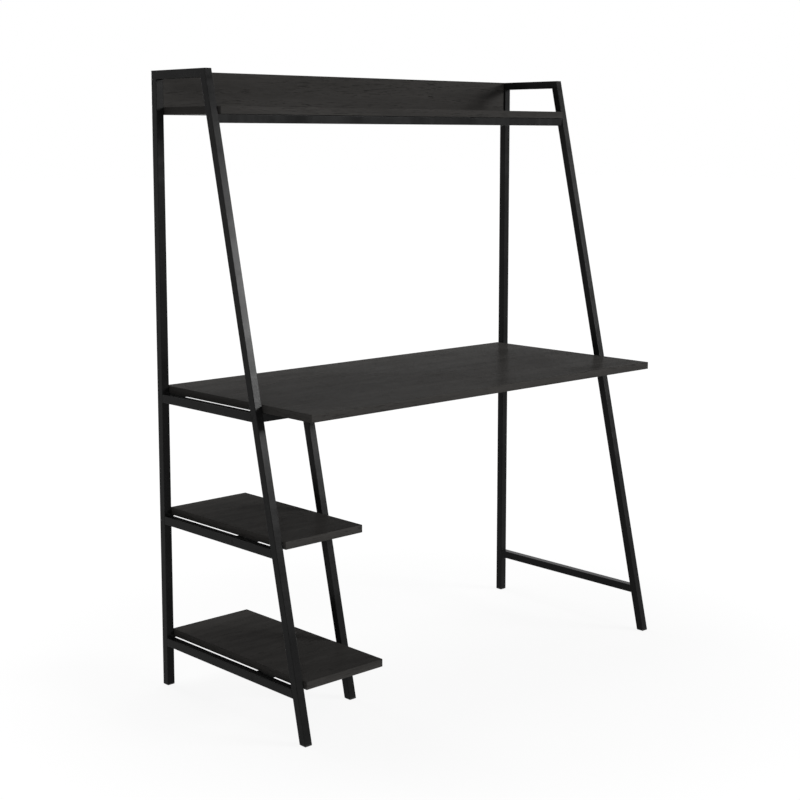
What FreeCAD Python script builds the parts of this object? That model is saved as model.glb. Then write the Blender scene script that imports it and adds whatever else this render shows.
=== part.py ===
"""Ladder desk: two slanted steel side frames, a shelf bay on the left and a raised shelf on top.

Millimetres. X runs to the right, Y to the back, Z up. The origin is on the floor, under the middle
of the desk. A "depth" is a distance forwards from the back plane, in which the backs of the rear
legs, of the desktop and of the back board lie.
"""

import FreeCAD, Part

import math
import os

Vector = FreeCAD.Vector

# ---- Driving dimensions: whole desk ------------------------------------------------------------
overall_width = 1200.0  # outer face to outer face of the side frames
overall_height = 1480.0  # floor to the top of the side frames
desktop_depth = 549.0  # back edge to front edge
foot_reach = 547.0  # back plane to the front face of a front leg, at the floor
head_reach = 211.0  # the same at the top of the frame

# ---- Driving dimensions: steel tube ------------------------------------------------------------
tube = 20.0  # side of the square tube of legs, rails and crossbars
small_tube = 15.0  # side of the square tube of the desk's rear crossbar
wall = 1.2
tube_corner = 1.5  # outer corner radius of both tubes
bore_corner = 0.3  # inner corner radius of both tubes, and of what plugs them

# ---- Driving dimensions: heights of the top faces of the four level boards ---------------------
desktop_top = 737.0
middle_shelf_top = 440.0
lower_shelf_top = 137.0
hutch_shelf_drop = 84.0  # top of the side frames down to the top of the highest shelf

# ---- Driving dimensions: boards ----------------------------------------------------------------
board = 18.0  # thickness of the desktop and the three shelves
back_board = 15.0  # thickness of the board behind the top shelf
board_edge = 0.8  # radius on the boards' edges
end_gap = 3.0  # between a board's end and the side frame beside it
back_board_end_gap = 0.5  # between the back board and a rear leg
shelf_nose = 7.0  # how far a shelf stands out in front of the front legs
shelf_back_gap = 11.0  # back plane to the back edge of the two low shelves
bay_width = 240.0  # left frame's inner face to the inner leg
bay_leg_gap = 11.0  # low shelves' right edge to the inner leg
inner_leg_setback = 150.0  # inner leg behind the front legs, measured level

# ---- Driving dimensions: small steel parts -----------------------------------------------------
tab = 2.5  # thickness of the shelf tabs
tab_reach = 40.0  # from the left frame's inner face
tab_width = 25.0
tab_setback = 3.0  # front tab to the front leg
ledge_inset = 1.0  # rear tab to the faces of the rear leg
leg_plate = 3.0  # thickness of the plate on top of the inner leg
leg_plate_width = 60.0
leg_plate_depth = 50.0
leg_plate_hole_inset = 9.0

# ---- Driving dimensions: feet ------------------------------------------------------------------
glide = 4.0  # height of the glide under a leg
glide_bevel = 1.0
glide_plug = 15.0  # length of the plug inside the leg
plug_clearance = 0.1  # round a plug or a nut in its tube

# ---- Driving dimensions: bolts, nuts, inserts and hole plugs -----------------------------------
bolt = 6.0
bolt_head = 10.5
bolt_head_height = 3.3
bolt_key = 4.0  # across the flats of the hexagon socket
bolt_key_depth = 2.0
bolt_hole = 6.6
bolt_reach = 13.0  # engagement in the nut or insert
access_hole = 11.0  # in the tube's outer wall, for the bolt head
hole_plug = 3.0  # length of the plastic plug that closes it
end_nut = 15.0  # length of the nut block in a crossbar's end
insert = 9.0  # diameter of the threaded insert in the back board
back_board_bolt_inset = 30.0  # from the board's top and bottom edges
fit = 0.05  # radial clearance of a thread, a press fit or a pilot hole

# ---- Driving dimensions: wood screws -----------------------------------------------------------
screw = 4.0
screw_head = 8.0
screw_head_height = 2.4
screw_tip = 2.0  # length of the tapered end
screw_point = 1.0  # diameter at the very end
screw_bite = 12.0  # length in a board, from its face
screw_hole = 4.6  # through steel
screw_access_hole = 9.0  # in the crossbar's lower wall, for the head
screw_key = 2.5
screw_key_depth = 1.2
edge_screw_bite = 25.0  # of the back board's screws, in the top shelf's back edge
desk_screw_count = 4
desk_screw_inset = 90.0
shelf_screw_count = 2
shelf_screw_inset = 40.0
hutch_screw_count = 4
back_screw_count = 5

# ---- Derived places ----------------------------------------------------------------------------
back_plane = desktop_depth / 2
hutch_shelf_top = overall_height - hutch_shelf_drop
left_outer = -overall_width / 2
left_inner = left_outer + tube
right_outer = overall_width / 2
right_inner = right_outer - tube
inner_leg_left = left_inner + bay_width
slope = (foot_reach - head_reach) / overall_height
slant = math.atan(slope)
leg_run = tube / math.cos(slant)  # a slanted leg's size, measured level
beyond = 4 * max(overall_width, overall_height)  # longer than anything on the desk


def y_at(depth):
    return back_plane - depth


def front_face_depth(z, setback=0.0):
    """Depth of a slanted leg's front face at height z."""
    return foot_reach - slope * z - setback


# ---- Shapes ------------------------------------------------------------------------------------
def rounded_square(side, radius, centre, u, v):
    """Face of a square with rounded corners, its sides along the unit vectors u and v."""
    half = side / 2
    flat = half - radius
    bow = flat + radius * math.sqrt(0.5)
    edges = []
    for turn in range(4):
        across = (u, v, u * -1, v * -1)[turn]
        along = (v, u * -1, v * -1, u)[turn]
        start = centre + across * half - along * flat
        corner_start = centre + across * half + along * flat
        corner_middle = centre + across * bow + along * bow
        corner_end = centre + across * flat + along * half
        edges.append(Part.LineSegment(start, corner_start).toShape())
        edges.append(Part.Arc(corner_start, corner_middle, corner_end).toShape())
    return Part.Face(Part.Wire(edges))


def bar(start, end, side, radius):
    """Square bar with rounded long edges, from point to point."""
    axis = end - start
    direction = Vector(axis)
    direction.normalize()
    u = Vector(0, 1, 0) if abs(direction.x) > 0.9 else Vector(1, 0, 0)
    v = direction.cross(u)
    return rounded_square(side, radius, start, u, v).extrude(axis)


def square_tube(start, end, side):
    outside = bar(start, end, side, tube_corner)
    inside = bar(start, end, side - 2 * wall, bore_corner)
    return outside.cut(inside)


def cut_beyond(shape, point, outward):
    """Takes away all of shape that lies beyond the plane through point."""
    block = Part.makeBox(beyond, beyond, beyond, Vector(-beyond / 2, -beyond / 2, 0))
    block.Placement = FreeCAD.Placement(point, FreeCAD.Rotation(Vector(0, 0, 1), outward))
    return shape.cut(block)


def cylinder(start, direction, length, diameter):
    return Part.makeCylinder(diameter / 2, length, start, direction)


def box(x_min, x_max, depth_front, depth_back, z_min, z_max):
    corner = Vector(x_min, y_at(depth_front), z_min)
    return Part.makeBox(x_max - x_min, depth_front - depth_back, z_max - z_min, corner)


def eased_board(*limits):
    """Board with all its edges rounded."""
    blank = box(*limits)
    return blank.makeFillet(board_edge, blank.Edges)


def hexagon_pocket(start, direction, depth, across_flats):
    """Prism of a hexagon socket, from start along direction."""
    u = Vector(0, 0, 1) if abs(direction.z) < 0.9 else Vector(1, 0, 0)
    v = direction.cross(u)
    radius = across_flats / math.sqrt(3)
    corners = []
    for step in range(7):
        angle = math.radians(60 * step)
        corners.append(start + u * (radius * math.cos(angle)) + v * (radius * math.sin(angle)))
    return Part.Face(Part.makePolygon(corners)).extrude(direction * depth)


def evenly(start, end, count):
    """Places from start to end, both included."""
    return [start + (end - start) * step / (count - 1) for step in range(count)]


# ---- Fasteners ---------------------------------------------------------------------------------
# Each function gives the solids of one fastener, and the cuts that it needs in what it holds.
def frame_bolt(outer_x, inward, depth, z, gap=0.0):
    """Bolt seated inside the tube whose outer face is at outer_x: it holds what lies inward."""
    axis = Vector(inward, 0, 0)
    outer = Vector(outer_x, y_at(depth), z)
    seat = outer + axis * (tube - wall)
    key_start = seat - axis * bolt_head_height
    head = cylinder(key_start, axis, bolt_head_height, bolt_head)
    head = head.cut(hexagon_pocket(key_start, axis, bolt_key_depth, bolt_key))
    shank = cylinder(seat, axis, wall + gap + bolt_reach, bolt)
    access = cylinder(outer - axis * wall, axis, wall + tube / 2, access_hole)
    clearance = cylinder(outer + axis * (tube / 2), axis, tube / 2 + wall, bolt_hole)
    return {
        "bolt": head.fuse(shank).removeSplitter(),
        "plug": cylinder(outer, axis, hole_plug, access_hole - 2 * fit),
        "tube_cut": access.fuse(clearance),
    }


def end_nut_block(face_x, inward, depth, z, side):
    """Threaded block inside the end of a crossbar of that side."""
    axis = Vector(inward, 0, 0)
    start = Vector(face_x, y_at(depth), z)
    width = side - 2 * wall - 2 * plug_clearance
    block = bar(start, start + axis * end_nut, width, bore_corner)
    return block.cut(cylinder(start - axis * wall, axis, end_nut + 2 * wall, bolt + 2 * fit))


def wood_screw(seat, direction, grip, bite):
    """Pan-head screw: seat is under the head, grip the length before the board, bite that in it."""
    head_start = seat - direction * screw_head_height
    head = cylinder(head_start, direction, screw_head_height, screw_head)
    head = head.cut(hexagon_pocket(head_start, direction, screw_key_depth, screw_key))
    straight = grip + bite - screw_tip
    shank = cylinder(seat, direction, straight, screw)
    tip = Part.makeCone(screw / 2, screw_point / 2, screw_tip, seat + direction * straight, direction)
    face = seat + direction * grip
    return {
        "screw": head.fuse([shank, tip]).removeSplitter(),
        "board_cut": cylinder(face - direction * wall, direction, wall + bite + fit, screw + 2 * fit),
    }


def bar_screw(x, depth, top, side):
    """Screw up through a crossbar of that side, into the board on it: its head is inside the tube."""
    up = Vector(0, 0, 1)
    centre = Vector(x, y_at(depth), top - side / 2)
    made = wood_screw(Vector(x, y_at(depth), top - wall), up, wall, screw_bite)
    access = cylinder(centre, up * -1, side / 2 + wall, screw_access_hole)
    clearance = cylinder(centre, up, side / 2 + wall, screw_hole)
    made["bar_cut"] = access.fuse(clearance)
    return made


def plate_screw(x, depth, top, thickness):
    """Screw up through a plate whose top is the board's underside."""
    up = Vector(0, 0, 1)
    made = wood_screw(Vector(x, y_at(depth), top - thickness), up, thickness, screw_bite)
    start = Vector(x, y_at(depth), top - 2 * thickness)
    made["plate_cut"] = cylinder(start, up, 3 * thickness, screw_hole)
    return made


# ---- Where the boards and bars lie -------------------------------------------------------------
desk_rail_top = desktop_top - board
middle_rail_top = middle_shelf_top - board
lower_rail_top = lower_shelf_top - board
hutch_bar_top = hutch_shelf_top - board

board_left = left_inner + end_gap
board_right = right_inner - end_gap
shelf_right = inner_leg_left - bay_leg_gap


def nose_depth(shelf_top):
    """Depth of the front edge of a shelf."""
    return front_face_depth(shelf_top - board / 2) + shelf_nose


def bar_depth(top, side, setback=0.0):
    """Depth of a crossbar's middle: its upper front edge lies in the legs' front faces."""
    return front_face_depth(top, setback) - side / 2


nodes = {}
cuts = {}


def cut_later(name, shape):
    cuts.setdefault(name, []).append(shape)


def gather(name, shape):
    nodes.setdefault(name, []).append(shape)


# ---- Side frames -------------------------------------------------------------------------------
def make_rear_leg(middle_x):
    """Upright leg, mitred at the top to the top rail."""
    y = y_at(tube / 2)
    leg = square_tube(Vector(middle_x, y, glide), Vector(middle_x, y, overall_height), tube)
    return cut_beyond(leg, Vector(middle_x, y_at(0), overall_height), Vector(0, -1, 1))


def slanted_point(middle_x, z, setback=0.0):
    """Point on the middle line of a slanted leg, carried on past the leg where z is past its ends."""
    return Vector(middle_x, y_at(front_face_depth(z, setback) - leg_run / 2), z)


def slanted_tube(middle_x, z_min, z_max, setback=0.0):
    """Slanted tube with level ends."""
    low = slanted_point(middle_x, z_min - tube, setback)
    high = slanted_point(middle_x, z_max + tube, setback)
    leg = square_tube(low, high, tube)
    leg = cut_beyond(leg, Vector(middle_x, 0, z_min), Vector(0, 0, -1))
    return cut_beyond(leg, Vector(middle_x, 0, z_max), Vector(0, 0, 1))


def front_mitre(middle_x):
    """Point and normal, forwards, of the plane between the top rail and a front leg."""
    low = overall_height - tube
    upper = Vector(middle_x, y_at(head_reach), overall_height)
    lower = Vector(middle_x, y_at(front_face_depth(low) - leg_run), low)
    normal = (upper - lower).cross(Vector(1, 0, 0))
    return upper, normal if normal.y < 0 else normal * -1


def make_front_leg(middle_x):
    leg = slanted_tube(middle_x, glide, overall_height)
    point, forwards = front_mitre(middle_x)
    return cut_beyond(leg, point, forwards * -1)


def make_top_rail(middle_x):
    z = overall_height - tube / 2
    rail = square_tube(Vector(middle_x, y_at(0), z), Vector(middle_x, y_at(foot_reach), z), tube)
    rail = cut_beyond(rail, Vector(middle_x, y_at(0), overall_height), Vector(0, 1, -1))
    return cut_beyond(rail, *front_mitre(middle_x))


def make_rail(middle_x, top):
    """Level rail between the rear leg and the front leg."""
    z = top - tube / 2
    rail = square_tube(Vector(middle_x, y_at(tube), z), Vector(middle_x, y_at(foot_reach), z), tube)
    leg_back = Vector(middle_x, y_at(front_face_depth(0) - leg_run), 0)
    return cut_beyond(rail, leg_back, Vector(0, -1, slope))


def make_side_frames():
    both = {"desk_rail": desk_rail_top, "lower_rail": lower_rail_top}
    rails = {"left": {**both, "middle_rail": middle_rail_top}, "right": both}
    middles = {"left": left_outer + tube / 2, "right": right_outer - tube / 2}
    for side, middle_x in middles.items():
        gather(f"{side}_rear_leg", make_rear_leg(middle_x))
        gather(f"{side}_front_leg", make_front_leg(middle_x))
        gather(f"{side}_top_rail", make_top_rail(middle_x))
        for rail, top in rails[side].items():
            gather(f"{side}_{rail}", make_rail(middle_x, top))


# ---- Inner leg ---------------------------------------------------------------------------------
def make_inner_leg():
    """Slanted leg under the desktop, parallel to the front legs, with a screw plate on top."""
    middle_x = inner_leg_left + tube / 2
    top = desk_rail_top - leg_plate
    gather("inner_leg", slanted_tube(middle_x, glide, top, inner_leg_setback))
    middle_depth = front_face_depth(top, inner_leg_setback) - leg_run / 2
    plate = box(
        middle_x - leg_plate_width / 2,
        middle_x + leg_plate_width / 2,
        middle_depth + leg_plate_depth / 2,
        middle_depth - leg_plate_depth / 2,
        top,
        desk_rail_top,
    )
    across = leg_plate_width / 2 - leg_plate_hole_inset
    along = leg_plate_depth / 2 - leg_plate_hole_inset
    for x in (middle_x - across, middle_x + across):
        for depth in (middle_depth - along, middle_depth + along):
            made = plate_screw(x, depth, desk_rail_top, leg_plate)
            plate = plate.cut(made["plate_cut"])
            gather("inner_leg_plate_screws", made["screw"])
            cut_later("desktop", made["board_cut"])
    gather("inner_leg_plate", plate)


# ---- Glides ------------------------------------------------------------------------------------
def make_glide(middle_x, bottom, top):
    """Plastic foot whose plug fills the end of the leg: bottom and top give the leg's middle line."""
    foot = bar(bottom, top, tube, tube_corner)
    foot = cut_beyond(foot, Vector(middle_x, 0, glide), Vector(0, 0, 1))
    foot = cut_beyond(foot, Vector(middle_x, 0, 0), Vector(0, 0, -1))
    sole = [edge for edge in foot.Edges if edge.CenterOfMass.z < glide_bevel / 2]
    foot = foot.makeChamfer(glide_bevel, sole)
    plug = bar(bottom, top, tube - 2 * wall - 2 * plug_clearance, bore_corner)
    plug = cut_beyond(plug, Vector(middle_x, 0, glide + glide_plug), Vector(0, 0, 1))
    plug = cut_beyond(plug, Vector(middle_x, 0, glide / 2), Vector(0, 0, -1))
    return foot.fuse(plug).removeSplitter()


def make_glides():
    over = glide + glide_plug + tube
    for side, middle_x in (("left", left_outer + tube / 2), ("right", right_outer - tube / 2)):
        y = y_at(tube / 2)
        upright = make_glide(middle_x, Vector(middle_x, y, -tube), Vector(middle_x, y, over))
        gather(f"{side}_rear_glide", upright)
        slanted = make_glide(middle_x, slanted_point(middle_x, -tube), slanted_point(middle_x, over))
        gather(f"{side}_front_glide", slanted)
    middle_x = inner_leg_left + tube / 2
    ends = [slanted_point(middle_x, z, inner_leg_setback) for z in (-tube, over)]
    gather("inner_glide", make_glide(middle_x, *ends))


# ---- Crossbars ---------------------------------------------------------------------------------
def make_crossbar(name, x_min, x_max, depth, top, side, members):
    """Tube along X with a nut block and a bolt at each end. members names the tubes that it meets."""
    z = top - side / 2
    y = y_at(depth)
    gather(name, square_tube(Vector(x_min, y, z), Vector(x_max, y, z), side))
    for face_x, inward, member in ((x_min, 1, members[0]), (x_max, -1, members[1])):
        gather("crossbar_end_nuts", end_nut_block(face_x, inward, depth, z, side))
        made = frame_bolt(face_x - inward * tube, inward, depth, z)
        gather("crossbar_bolts", made["bolt"])
        gather("bolt_hole_plugs", made["plug"])
        cut_later(member, made["tube_cut"])


def screw_down(board_name, bar_name, screws_name, places, depth, top, side):
    """Screws up through a crossbar into the board that lies on it."""
    for x in places:
        made = bar_screw(x, depth, top, side)
        gather(screws_name, made["screw"])
        cut_later(bar_name, made["bar_cut"])
        cut_later(board_name, made["board_cut"])


def make_crossbars():
    wide = evenly(left_inner + desk_screw_inset, right_inner - desk_screw_inset, desk_screw_count)
    above = evenly(left_inner + desk_screw_inset, right_inner - desk_screw_inset, hutch_screw_count)
    narrow = evenly(board_left + shelf_screw_inset, shelf_right - shelf_screw_inset, shelf_screw_count)
    frame_span = (left_inner, right_inner)
    bay_span = (left_inner, inner_leg_left)

    depth = bar_depth(desk_rail_top, tube)
    members = ("left_front_leg", "right_front_leg")
    make_crossbar("desk_front_crossbar", *frame_span, depth, desk_rail_top, tube, members)
    screw_down("desktop", "desk_front_crossbar", "desktop_screws", wide, depth, desk_rail_top, tube)

    depth = small_tube / 2
    members = ("left_rear_leg", "right_rear_leg")
    make_crossbar("desk_rear_crossbar", *frame_span, depth, desk_rail_top, small_tube, members)
    screw_down("desktop", "desk_rear_crossbar", "desktop_screws", wide, depth, desk_rail_top, small_tube)

    depth = bar_depth(hutch_bar_top, tube)
    members = ("left_front_leg", "right_front_leg")
    make_crossbar("hutch_crossbar", *frame_span, depth, hutch_bar_top, tube, members)
    screw_down("hutch_shelf", "hutch_crossbar", "hutch_shelf_screws", above, depth, hutch_bar_top, tube)

    for level, top in (("middle", middle_rail_top), ("lower", lower_rail_top)):
        name = f"{level}_shelf_crossbar"
        depth = bar_depth(top, tube, inner_leg_setback)
        make_crossbar(name, *bay_span, depth, top, tube, (f"left_{level}_rail", "inner_leg"))
        screw_down(f"{level}_shelf", name, "low_shelf_screws", narrow, depth, top, tube)


# ---- Shelf tabs --------------------------------------------------------------------------------
def make_tabs(level, top):
    """Two plates that carry the left edge of a low shelf: one on the rear leg and one on the rail."""
    x_max = left_inner + tab_reach
    ledge = box(left_inner, x_max, tube - ledge_inset, ledge_inset, top - tab, top)
    gather(f"{level}_shelf_rear_tab", ledge)
    rail_end = front_face_depth(top) - leg_run
    front = rail_end - tab_setback
    plate = box(left_inner, x_max, front, front - tab_width, top - tab, top)
    made = plate_screw((board_left + x_max) / 2, front - tab_width / 2, top, tab)
    gather(f"{level}_shelf_front_tab", plate.cut(made["plate_cut"]))
    gather("low_shelf_screws", made["screw"])
    cut_later(f"{level}_shelf", made["board_cut"])


# ---- Boards ------------------------------------------------------------------------------------
def make_boards():
    gather("desktop", eased_board(board_left, board_right, desktop_depth, 0, desk_rail_top, desktop_top))
    for level, top in (("middle", middle_shelf_top), ("lower", lower_shelf_top)):
        shelf = eased_board(board_left, shelf_right, nose_depth(top), shelf_back_gap, top - board, top)
        gather(f"{level}_shelf", shelf)
    hutch = eased_board(
        board_left, board_right, nose_depth(hutch_shelf_top), back_board, hutch_bar_top, hutch_shelf_top
    )
    gather("hutch_shelf", hutch)
    back_left = left_inner + back_board_end_gap
    back_right = right_inner - back_board_end_gap
    back = eased_board(back_left, back_right, back_board, 0, hutch_bar_top, overall_height)
    gather("hutch_back_board", back)


def fasten_back_board():
    """Bolts through the rear legs into the board's ends, and screws through it into the top shelf."""
    middle = back_board / 2
    heights = (hutch_bar_top + back_board_bolt_inset, overall_height - back_board_bolt_inset)
    for outer_x, inward, leg in ((left_outer, 1, "left_rear_leg"), (right_outer, -1, "right_rear_leg")):
        axis = Vector(inward, 0, 0)
        for z in heights:
            made = frame_bolt(outer_x, inward, middle, z, back_board_end_gap)
            gather("back_board_bolts", made["bolt"])
            gather("bolt_hole_plugs", made["plug"])
            cut_later(leg, made["tube_cut"])
            start = Vector(outer_x, y_at(middle), z) + axis * (tube + back_board_end_gap)
            sleeve = cylinder(start, axis, bolt_reach, insert)
            bore = cylinder(start, axis, bolt_reach, bolt + 2 * fit)
            gather("back_board_inserts", sleeve.cut(bore))
            pocket = cylinder(start - axis * wall, axis, wall + bolt_reach + fit, insert + 2 * fit)
            cut_later("hutch_back_board", pocket)
    forwards = Vector(0, -1, 0)
    z = hutch_shelf_top - board / 2
    for x in evenly(left_inner + desk_screw_inset, right_inner - desk_screw_inset, back_screw_count):
        seat = Vector(x, y_at(screw_head_height), z)
        made = wood_screw(seat, forwards, back_board - screw_head_height, edge_screw_bite)
        gather("back_board_screws", made["screw"])
        cut_later("hutch_shelf", made["board_cut"])
        start = Vector(x, y_at(0), z)
        head_pocket = cylinder(start, forwards, screw_head_height, screw_head + 2 * fit)
        through = cylinder(start, forwards, back_board, screw + 2 * fit)
        cut_later("hutch_back_board", head_pocket.fuse(through))


# ---- Assembly ----------------------------------------------------------------------------------
def apply_cuts():
    for name, shapes in cuts.items():
        (whole,) = nodes[name]
        nodes[name] = [whole.cut(shapes)]


def export():
    os.makedirs("parts", exist_ok=True)
    for name, shapes in nodes.items():
        solids = [solid for shape in shapes for solid in shape.Solids]
        whole = solids[0] if len(solids) == 1 else Part.makeCompound(solids)
        whole.exportStep(os.path.join("parts", f"{name}.step"))
        limits = whole.BoundBox
        print(f"{name:26s} solids {len(solids):2d}  valid {whole.isValid()}  volume {whole.Volume:12.1f}"
              f"  x {limits.XMin:8.2f} {limits.XMax:8.2f}  y {limits.YMin:8.2f} {limits.YMax:8.2f}"
              f"  z {limits.ZMin:8.2f} {limits.ZMax:8.2f}")


make_side_frames()
make_inner_leg()
make_glides()
make_crossbars()
for shelf_level, shelf_rail_top in (("middle", middle_rail_top), ("lower", lower_rail_top)):
    make_tabs(shelf_level, shelf_rail_top)
make_boards()
fasten_back_board()
apply_cuts()
export()
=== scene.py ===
"""Looks of a ladder desk: black powder-coated steel frames and black oak laminate boards, in a plain studio.

Metres. X runs to the right, Y to the back and Z up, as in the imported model, from which every place is read.
"""

import logging
import math
from dataclasses import dataclass
from enum import Enum

import bpy
import numpy as np
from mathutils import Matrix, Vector


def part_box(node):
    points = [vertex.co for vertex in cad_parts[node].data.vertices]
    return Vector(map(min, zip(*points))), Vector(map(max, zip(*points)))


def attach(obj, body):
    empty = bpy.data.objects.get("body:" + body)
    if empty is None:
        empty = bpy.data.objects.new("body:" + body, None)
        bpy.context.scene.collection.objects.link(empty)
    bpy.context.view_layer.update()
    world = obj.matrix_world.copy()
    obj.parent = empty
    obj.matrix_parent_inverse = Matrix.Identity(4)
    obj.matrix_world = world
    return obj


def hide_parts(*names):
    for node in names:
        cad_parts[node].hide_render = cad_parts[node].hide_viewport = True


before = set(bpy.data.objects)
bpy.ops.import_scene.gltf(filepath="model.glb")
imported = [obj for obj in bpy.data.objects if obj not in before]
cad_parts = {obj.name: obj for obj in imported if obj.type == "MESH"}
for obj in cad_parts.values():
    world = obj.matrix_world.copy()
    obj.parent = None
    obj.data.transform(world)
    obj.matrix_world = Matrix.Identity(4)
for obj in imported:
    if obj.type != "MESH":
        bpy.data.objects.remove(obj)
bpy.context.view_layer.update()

log = logging.getLogger("ladder_desk")

BODY = "root"
MM = 0.001
PATTERN_MAP = "pattern"
Triple = tuple[float, float, float]


# ---- Surfaces ----------------------------------------------------------------------------------
@dataclass
class Surface:
    """Mesh data as whole arrays.

    Attributes:
        points: (n, 3), in metres.
        quads: (q, 4), as indices of points.
        triangles: (t, 3), as indices of points.
        quad_pattern: (q, 4, 2), the place of each quad's corners on the flattened surface, in metres.
    """

    points: np.ndarray
    quads: np.ndarray
    triangles: np.ndarray
    quad_pattern: np.ndarray

    def turned(self, axes: np.ndarray, origin: np.ndarray) -> "Surface":
        """Returns the surface with its three coordinates measured along axes, from origin."""
        return Surface(self.points @ axes + origin, self.quads, self.triangles, self.quad_pattern)

    def volume(self) -> float:
        """Enclosed volume: a sixth of the sum of a . (b x c) over all triangles.

        Returns:
            The volume, which is below 0 where the faces point inwards.
        """
        halves = [self.quads[:, [0, 1, 2]], self.quads[:, [0, 2, 3]], self.triangles]
        a, b, c = (self.points[np.concatenate(halves)[:, corner]] for corner in range(3))
        return float(np.einsum("ij,ij->i", a, np.cross(b, c)).sum() / 6)

    def outward(self) -> "Surface":
        """Turns the faces to point out of the enclosed volume.

        Returns:
            The surface itself, or one with the corners of each face in reverse order.
        """
        if self.volume() >= 0:
            return self
        return Surface(self.points, self.quads[:, ::-1], self.triangles[:, ::-1], self.quad_pattern[:, ::-1])


def joined(surfaces: list[Surface]) -> Surface:
    """Puts several surfaces into one.

    Args:
        surfaces: the surfaces, each closed by itself.

    Returns:
        One surface: the points follow each other, and the indices are raised by those before.
    """
    starts = np.cumsum([0] + [len(s.points) for s in surfaces[:-1]])
    return Surface(
        np.concatenate([s.points for s in surfaces]),
        np.concatenate([s.quads + start for s, start in zip(surfaces, starts)]),
        np.concatenate([s.triangles + start for s, start in zip(surfaces, starts)]),
        np.concatenate([s.quad_pattern for s in surfaces]),
    )


def lofted(rings: np.ndarray, hollow: bool = False) -> Surface:
    """Closed surface through rings of points.

    Quad (i, j) joins points j and j + 1 of ring i to those of ring i + 1. Each ring is closed, so
    the last point is followed by the first.

    Args:
        rings: (m, n, 3), m rings of n points.
        hollow: True where the last ring is followed by the first one. Otherwise the first and the
            last ring are each closed by a fan round their middle point.

    Returns:
        The surface, with its faces outwards. Its pattern's first coordinate is the length along a
        ring, summed from the longest step of any ring. The second is the way across the rings,
        summed from the shortest step between two.
    """
    count, around = rings.shape[:2]
    rows = np.arange(count if hollow else count - 1)[:, None]
    columns = np.arange(around)[None, :]
    here, above = rows * around, (rows + 1) % count * around
    after = (columns + 1) % around
    quads = np.stack([here + columns, here + after, above + after, above + columns], axis=-1)

    steps = np.linalg.norm(np.roll(rings, -1, axis=1) - rings, axis=2).max(axis=0)
    along = np.concatenate([[0.0], np.cumsum(steps)])
    rises = np.linalg.norm(np.roll(rings, -1, axis=0) - rings, axis=2).min(axis=1)
    across = np.concatenate([[0.0], np.cumsum(rises)])
    u = np.broadcast_to(np.stack([along[:-1], along[1:], along[1:], along[:-1]], axis=-1), quads.shape)
    low, high = across[rows[:, 0]], across[rows[:, 0] + 1]
    v = np.broadcast_to(np.stack([low, low, high, high], axis=-1)[:, None, :], quads.shape)

    points = rings.reshape(-1, 3)
    triangles = np.zeros((0, 3), int)
    if not hollow:
        poles = np.stack([rings[0].mean(axis=0), rings[-1].mean(axis=0)])
        first, last = columns[0], (count - 1) * around + columns[0]
        bottom = np.stack([np.full(around, len(points)), after[0], first], axis=-1)
        top = np.stack([np.full(around, len(points) + 1), last, (count - 1) * around + after[0]], axis=-1)
        triangles = np.concatenate([bottom, top])
        points = np.concatenate([points, poles])
    pattern = np.stack([u, v], axis=-1).reshape(-1, 4, 2)
    return Surface(points, quads.reshape(-1, 4), triangles, pattern).outward()


def rounded_rectangle(
    half_x: float, half_y: float, radius: float, steps: int
) -> tuple[np.ndarray, np.ndarray]:
    """Loop of a rectangle with round corners, about the origin.

    A corner's points are its centre plus radius times (cos a, sin a), with a over a quarter turn.

    Args:
        half_x: half the length along x.
        half_y: half the length along y.
        radius: corner radius.
        steps: points of each corner.

    Returns:
        The points and their outward directions, both (4 * steps, 2), anticlockwise from -y.
    """
    angles = np.radians(np.linspace(0, 90, steps)[None, :] + np.arange(-1, 3)[:, None] * 90)
    signs = np.array([[1, -1], [1, 1], [-1, 1], [-1, -1]])
    centres = signs * np.array([half_x - radius, half_y - radius])
    outward = np.stack([np.cos(angles), np.sin(angles)], axis=-1)
    points = centres[:, None, :] + radius * outward
    return points.reshape(-1, 2), outward.reshape(-1, 2)


def at_heights(rings: np.ndarray, heights: np.ndarray) -> np.ndarray:
    """Returns flat rings, (m, n, 2), each lifted to its height, as (m, n, 3)."""
    lift = np.broadcast_to(heights[:, None, None], rings.shape[:2] + (1,))
    return np.concatenate([rings, lift], axis=2)


def added(name: str, data: bpy.types.ID) -> bpy.types.Object:
    """Adds an object to the scene, at the origin.

    Args:
        name: the object's name.
        data: its mesh, camera or lamp.

    Returns:
        The object.
    """
    thing = bpy.data.objects.new(name, data)
    bpy.context.scene.collection.objects.link(thing)
    return thing


def made_object(
    name: str, surface: Surface, material: bpy.types.Material, smooth_below: float
) -> bpy.types.Object:
    """Mesh object from a surface, at the origin, riding on the desk's body.

    Args:
        name: the piece's name.
        surface: what it is made of.
        material: its finish.
        smooth_below: faces that meet at less than this angle, in degrees, are shaded as one.

    Returns:
        The object.
    """
    mesh = bpy.data.meshes.new(name)
    mesh.from_pydata(surface.points.tolist(), [], surface.quads.tolist() + surface.triangles.tolist())
    corners = np.zeros((len(mesh.loops), 2), np.float32)
    corners[: surface.quads.size] = surface.quad_pattern.reshape(-1, 2)
    mesh.uv_layers.new(name=PATTERN_MAP).data.foreach_set("uv", corners.ravel())
    mesh.polygons.foreach_set("use_smooth", np.ones(len(mesh.polygons), bool))
    mesh.set_sharp_from_angle(angle=math.radians(smooth_below))
    mesh.materials.append(material)
    piece = added(name, mesh)
    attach(piece, BODY)
    log.info("%s: %d points", name, len(surface.points))
    return piece


# ---- Node wiring -------------------------------------------------------------------------------
Socket = bpy.types.NodeSocket
Value = float | tuple | Socket

# The middle of a noise, and the values between which it mostly stays.
NOISE_MIDDLE = 0.5
NOISE_LOW, NOISE_HIGH = 0.3, 0.7

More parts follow.
